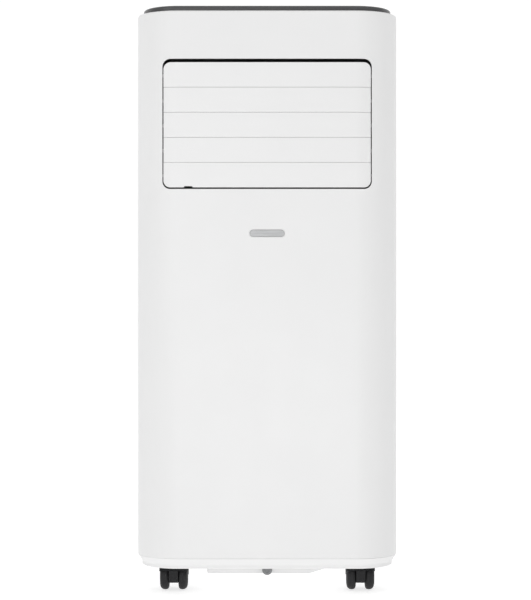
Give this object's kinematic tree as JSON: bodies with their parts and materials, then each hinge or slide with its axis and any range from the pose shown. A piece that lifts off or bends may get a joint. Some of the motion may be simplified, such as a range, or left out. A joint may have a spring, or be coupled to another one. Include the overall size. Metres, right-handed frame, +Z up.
{
  "type": "portable air conditioner",
  "caption": "Free-standing room air conditioner: rounded tower cabinet, tilting front louvre, top controls, rear filter and exhaust collar, twin-wheel castors.",
  "frame": {"origin": "on the floor under the middle of the bounding box", "axes": "+Z up, -Y out of the front (louvre side), +X to the right seen from the front"},
  "size_m": [0.305, 0.31, 0.683],
  "materials": {
    "white_shell": "fine satin moulded",
    "louvre_white": "smooth satin moulded",
    "badge_grey": "satin",
    "black_gloss": "polished",
    "display_glass": "polished smoked",
    "button_grey": "satin",
    "board_green": "solder mask",
    "duct_dark": "satin moulded",
    "steel": "zinc plated",
    "filter_grey": "woven mesh",
    "rubber_grey": "matte",
    "castor_black": "satin moulded",
    "wheel_black": "satin moulded",
    "compressor_black": "satin paint",
    "aluminium": "finned",
    "copper": "drawn copper",
    "foam_white": "expanded foam and moulded plastic"
  },
  "bodies": {
    "cabinet": {"base_tray": "white_shell", "front_shell": "white_shell", "rear_shell": "white_shell", "nameplate": "badge_grey", "handle_left": "white_shell", "handle_right": "white_shell", "top_panel": "black_gloss", "display_window": "display_glass", "control_board": "board_green", "outlet_duct": "duct_dark", "lower_grille": "white_shell", "exhaust_collar": "white_shell", "cord_gland": "castor_black", "compressor": "compressor_black", "suction_accumulator": "compressor_black", "condenser_coil": "aluminium", "evaporator_coil": "aluminium", "discharge_pipe": "copper", "suction_pipe": "copper", "upper_fan_scroll": "foam_white", "lower_fan_scroll": "foam_white", "upper_motor": "steel", "lower_motor": "steel", "middle_deck": "foam_white", "control_box": "steel"},
    "louvre_slat_1": {"louvre_slat_1": "louvre_white"},
    "louvre_slat_2": {"louvre_slat_2": "louvre_white"},
    "louvre_slat_3": {"louvre_slat_3": "louvre_white"},
    "louvre_slat_4": {"louvre_slat_4": "louvre_white"},
    "louvre_slat_5": {"louvre_slat_5": "louvre_white"},
    "louvre_tie_bar": {"louvre_tie_bar": "steel"},
    "vane_1": {"vane_1": "duct_dark"},
    "vane_2": {"vane_2": "duct_dark"},
    "vane_3": {"vane_3": "duct_dark"},
    "vane_4": {"vane_4": "duct_dark"},
    "vane_5": {"vane_5": "duct_dark"},
    "vane_tie_bar": {"vane_tie_bar": "duct_dark"},
    "button_1": {"button_1": "button_grey"},
    "button_2": {"button_2": "button_grey"},
    "button_3": {"button_3": "button_grey"},
    "button_4": {"button_4": "button_grey"},
    "button_5": {"button_5": "button_grey"},
    "filter": {"filter_door": "white_shell", "filter_mesh": "filter_grey"},
    "drain_plug": {"drain_plug": "rubber_grey"},
    "rear_drain_cap": {"rear_drain_cap": "rubber_grey"},
    "castor_front_left": {"castor_hood_front_left": "castor_black"},
    "castor_wheel_front_left_a": {"castor_wheel_front_left_a": "wheel_black"},
    "castor_wheel_front_left_b": {"castor_wheel_front_left_b": "wheel_black"},
    "castor_front_right": {"castor_hood_front_right": "castor_black"},
    "castor_wheel_front_right_a": {"castor_wheel_front_right_a": "wheel_black"},
    "castor_wheel_front_right_b": {"castor_wheel_front_right_b": "wheel_black"},
    "castor_rear_left": {"castor_hood_rear_left": "castor_black"},
    "castor_wheel_rear_left_a": {"castor_wheel_rear_left_a": "wheel_black"},
    "castor_wheel_rear_left_b": {"castor_wheel_rear_left_b": "wheel_black"},
    "castor_rear_right": {"castor_hood_rear_right": "castor_black"},
    "castor_wheel_rear_right_a": {"castor_wheel_rear_right_a": "wheel_black"},
    "castor_wheel_rear_right_b": {"castor_wheel_rear_right_b": "wheel_black"},
    "upper_blower": {"upper_blower": "foam_white"},
    "lower_blower": {"lower_blower": "foam_white"}
  },
  "joints": [
    {"name": "louvre_slat_1_tilt", "type": "hinge", "parent": "cabinet", "child": "louvre_slat_1", "pos_m": [0, -0.142, 0.60212], "axis": [-1, 0, 0], "range_deg": [0, 75]},
    {"name": "louvre_slat_2_tilt", "type": "hinge", "parent": "cabinet", "child": "louvre_slat_2", "pos_m": [0, -0.142, 0.57316], "axis": [-1, 0, 0], "range_deg": [0, 75]},
    {"name": "louvre_slat_3_tilt", "type": "hinge", "parent": "cabinet", "child": "louvre_slat_3", "pos_m": [0, -0.142, 0.5442], "axis": [-1, 0, 0], "range_deg": [0, 75]},
    {"name": "louvre_slat_4_tilt", "type": "hinge", "parent": "cabinet", "child": "louvre_slat_4", "pos_m": [0, -0.142, 0.51524], "axis": [-1, 0, 0], "range_deg": [0, 75]},
    {"name": "louvre_slat_5_tilt", "type": "hinge", "parent": "cabinet", "child": "louvre_slat_5", "pos_m": [0, -0.142, 0.48628], "axis": [-1, 0, 0], "range_deg": [0, 75]},
    {"name": "louvre_tie_bar_pin", "type": "hinge", "parent": "louvre_slat_3", "child": "louvre_tie_bar", "pos_m": [0.12835, -0.131, 0.5442], "axis": [-1, 0, 0], "range_deg": [-75, 0]},
    {"name": "vane_1_swing", "type": "hinge", "parent": "cabinet", "child": "vane_1", "pos_m": [-0.08, -0.112, 0.547], "axis": [0, 0, 1], "range_deg": [-30, 30]},
    {"name": "vane_2_swing", "type": "hinge", "parent": "cabinet", "child": "vane_2", "pos_m": [-0.04, -0.112, 0.547], "axis": [0, 0, 1], "range_deg": [-30, 30]},
    {"name": "vane_3_swing", "type": "hinge", "parent": "cabinet", "child": "vane_3", "pos_m": [0, -0.112, 0.547], "axis": [0, 0, 1], "range_deg": [-30, 30]},
    {"name": "vane_4_swing", "type": "hinge", "parent": "cabinet", "child": "vane_4", "pos_m": [0.04, -0.112, 0.547], "axis": [0, 0, 1], "range_deg": [-30, 30]},
    {"name": "vane_5_swing", "type": "hinge", "parent": "cabinet", "child": "vane_5", "pos_m": [0.08, -0.112, 0.547], "axis": [0, 0, 1], "range_deg": [-30, 30]},
    {"name": "vane_tie_bar_pin", "type": "hinge", "parent": "vane_3", "child": "vane_tie_bar", "pos_m": [0, -0.123, 0.4715], "axis": [0, 0, 1], "range_deg": [-30, 30]},
    {"name": "button_1_press", "type": "slide", "parent": "cabinet", "child": "button_1", "axis": [0, 0, -1], "range_m": [0, 0.0008], "stiffness_N_per_m": 600},
    {"name": "button_2_press", "type": "slide", "parent": "cabinet", "child": "button_2", "axis": [0, 0, -1], "range_m": [0, 0.0008], "stiffness_N_per_m": 600},
    {"name": "button_3_press", "type": "slide", "parent": "cabinet", "child": "button_3", "axis": [0, 0, -1], "range_m": [0, 0.0008], "stiffness_N_per_m": 600},
    {"name": "button_4_press", "type": "slide", "parent": "cabinet", "child": "button_4", "axis": [0, 0, -1], "range_m": [0, 0.0008], "stiffness_N_per_m": 600},
    {"name": "button_5_press", "type": "slide", "parent": "cabinet", "child": "button_5", "axis": [0, 0, -1], "range_m": [0, 0.0008], "stiffness_N_per_m": 600},
    {"name": "filter_door_hinge", "type": "hinge", "parent": "cabinet", "child": "filter", "pos_m": [0, 0.1415, 0.3985], "axis": [-1, 0, 0], "range_deg": [0, 60]},
    {"name": "drain_plug_pull", "type": "slide", "parent": "cabinet", "child": "drain_plug", "axis": [0, -1, 0], "range_m": [0, 0.025]},
    {"name": "rear_drain_cap_pull", "type": "slide", "parent": "cabinet", "child": "rear_drain_cap", "axis": [0, 1, 0], "range_m": [0, 0.025]},
    {"name": "castor_front_left_swivel", "type": "hinge", "parent": "cabinet", "child": "castor_front_left", "pos_m": [-0.11, -0.112, 0.045], "axis": [0, 0, 1], "continuous": true},
    {"name": "castor_wheel_front_left_a_spin", "type": "hinge", "parent": "castor_front_left", "child": "castor_wheel_front_left_a", "pos_m": [-0.1209, -0.104, 0.017], "axis": [1, 0, 0], "continuous": true},
    {"name": "castor_wheel_front_left_b_spin", "type": "hinge", "parent": "castor_front_left", "child": "castor_wheel_front_left_b", "pos_m": [-0.0991, -0.104, 0.017], "axis": [1, 0, 0], "continuous": true},
    {"name": "castor_front_right_swivel", "type": "hinge", "parent": "cabinet", "child": "castor_front_right", "pos_m": [0.11, -0.112, 0.045], "axis": [0, 0, 1], "continuous": true},
    {"name": "castor_wheel_front_right_a_spin", "type": "hinge", "parent": "castor_front_right", "child": "castor_wheel_front_right_a", "pos_m": [0.0991, -0.104, 0.017], "axis": [1, 0, 0], "continuous": true},
    {"name": "castor_wheel_front_right_b_spin", "type": "hinge", "parent": "castor_front_right", "child": "castor_wheel_front_right_b", "pos_m": [0.1209, -0.104, 0.017], "axis": [1, 0, 0], "continuous": true},
    {"name": "castor_rear_left_swivel", "type": "hinge", "parent": "cabinet", "child": "castor_rear_left", "pos_m": [-0.11, 0.095, 0.045], "axis": [0, 0, 1], "continuous": true},
    {"name": "castor_wheel_rear_left_a_spin", "type": "hinge", "parent": "castor_rear_left", "child": "castor_wheel_rear_left_a", "pos_m": [-0.1209, 0.103, 0.017], "axis": [1, 0, 0], "continuous": true},
    {"name": "castor_wheel_rear_left_b_spin", "type": "hinge", "parent": "castor_rear_left", "child": "castor_wheel_rear_left_b", "pos_m": [-0.0991, 0.103, 0.017], "axis": [1, 0, 0], "continuous": true},
    {"name": "castor_rear_right_swivel", "type": "hinge", "parent": "cabinet", "child": "castor_rear_right", "pos_m": [0.11, 0.095, 0.045], "axis": [0, 0, 1], "continuous": true},
    {"name": "castor_wheel_rear_right_a_spin", "type": "hinge", "parent": "castor_rear_right", "child": "castor_wheel_rear_right_a", "pos_m": [0.0991, 0.103, 0.017], "axis": [1, 0, 0], "continuous": true},
    {"name": "castor_wheel_rear_right_b_spin", "type": "hinge", "parent": "castor_rear_right", "child": "castor_wheel_rear_right_b", "pos_m": [0.1209, 0.103, 0.017], "axis": [1, 0, 0], "continuous": true},
    {"name": "upper_blower_spin", "type": "hinge", "parent": "cabinet", "child": "upper_blower", "pos_m": [0, 0.006, 0.487], "axis": [0, 1, 0], "continuous": true},
    {"name": "lower_blower_spin", "type": "hinge", "parent": "cabinet", "child": "lower_blower", "pos_m": [0, 0.053, 0.164], "axis": [0, 1, 0], "continuous": true}
  ],
  "couplings": [
    {"joint": "louvre_slat_1_tilt", "follows": "louvre_slat_3_tilt", "ratio": 1},
    {"joint": "louvre_slat_2_tilt", "follows": "louvre_slat_3_tilt", "ratio": 1},
    {"joint": "louvre_slat_4_tilt", "follows": "louvre_slat_3_tilt", "ratio": 1},
    {"joint": "louvre_slat_5_tilt", "follows": "louvre_slat_3_tilt", "ratio": 1},
    {"joint": "louvre_tie_bar_pin", "follows": "louvre_slat_3_tilt", "ratio": -1},
    {"joint": "vane_1_swing", "follows": "vane_3_swing", "ratio": 1},
    {"joint": "vane_2_swing", "follows": "vane_3_swing", "ratio": 1},
    {"joint": "vane_4_swing", "follows": "vane_3_swing", "ratio": 1},
    {"joint": "vane_5_swing", "follows": "vane_3_swing", "ratio": 1},
    {"joint": "vane_tie_bar_pin", "follows": "vane_3_swing", "ratio": -1}
  ]
}
